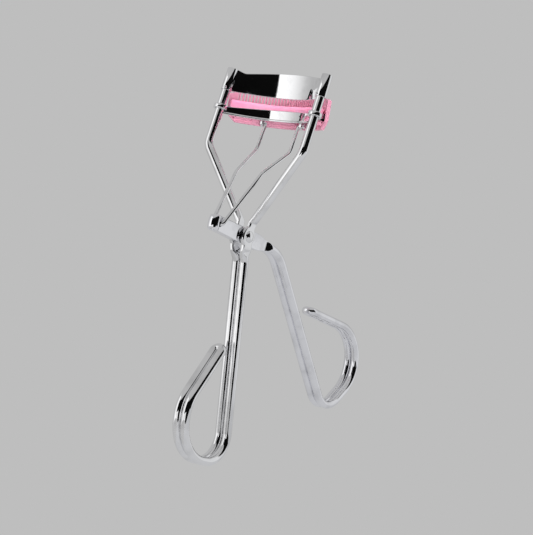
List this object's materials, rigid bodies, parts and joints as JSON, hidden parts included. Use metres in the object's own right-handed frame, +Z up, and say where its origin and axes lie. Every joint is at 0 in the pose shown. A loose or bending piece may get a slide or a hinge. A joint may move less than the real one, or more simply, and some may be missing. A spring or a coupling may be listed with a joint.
{
  "type": "eyelash curler with comb guard",
  "caption": "Hand-held wire-frame lash curler: a pivoting lever and link slide the padded lower jaw up two posts to a curved upper jaw.",
  "frame": {"origin": "centre of the pivot rivet, midway between its two heads", "axes": "+X along the rivet, +Z up the guide posts towards the head, +Y towards the bulging side of the jaws"},
  "size_m": [0.033, 0.0811, 0.1014],
  "materials": {
    "chrome_frame": "polished",
    "chrome_upper_jaw": "polished",
    "chrome_rivet": "polished",
    "chrome_lever": "polished",
    "chrome_link": "polished",
    "chrome_lower_jaw": "polished",
    "pink_silicone": "satin",
    "pink_plastic": "semi-gloss"
  },
  "bodies": {
    "frame": {"frame_wire": "chrome_frame", "upper_jaw": "chrome_upper_jaw", "pivot_rivet": "chrome_rivet"},
    "lever": {"lever_wire": "chrome_lever"},
    "lower_jaw": {"lower_jaw": "chrome_lower_jaw", "silicone_pad": "pink_silicone", "comb_guard": "pink_plastic"},
    "link": {"link_wire": "chrome_link"}
  },
  "joints": [
    {"name": "lever_hinge", "type": "hinge", "parent": "frame", "child": "lever", "pos_m": [0, 0, 0], "axis": [1, 0, 0], "range_deg": [-10, 24]},
    {"name": "jaw_slide", "type": "slide", "parent": "frame", "child": "lower_jaw", "axis": [0, 0, 1], "range_m": [-0.0043, 0.0018]},
    {"name": "link_hinge", "type": "hinge", "parent": "lower_jaw", "child": "link", "pos_m": [0, 0.00186, 0.0313], "axis": [1, 0, 0], "range_deg": [-0.8, 1.9]}
  ],
  "couplings": [
    {"joint": "jaw_slide", "follows": "lever_hinge", "m_per_rad": -0.010017},
    {"joint": "link_hinge", "follows": "lever_hinge", "ratio": 0.0762}
  ]
}
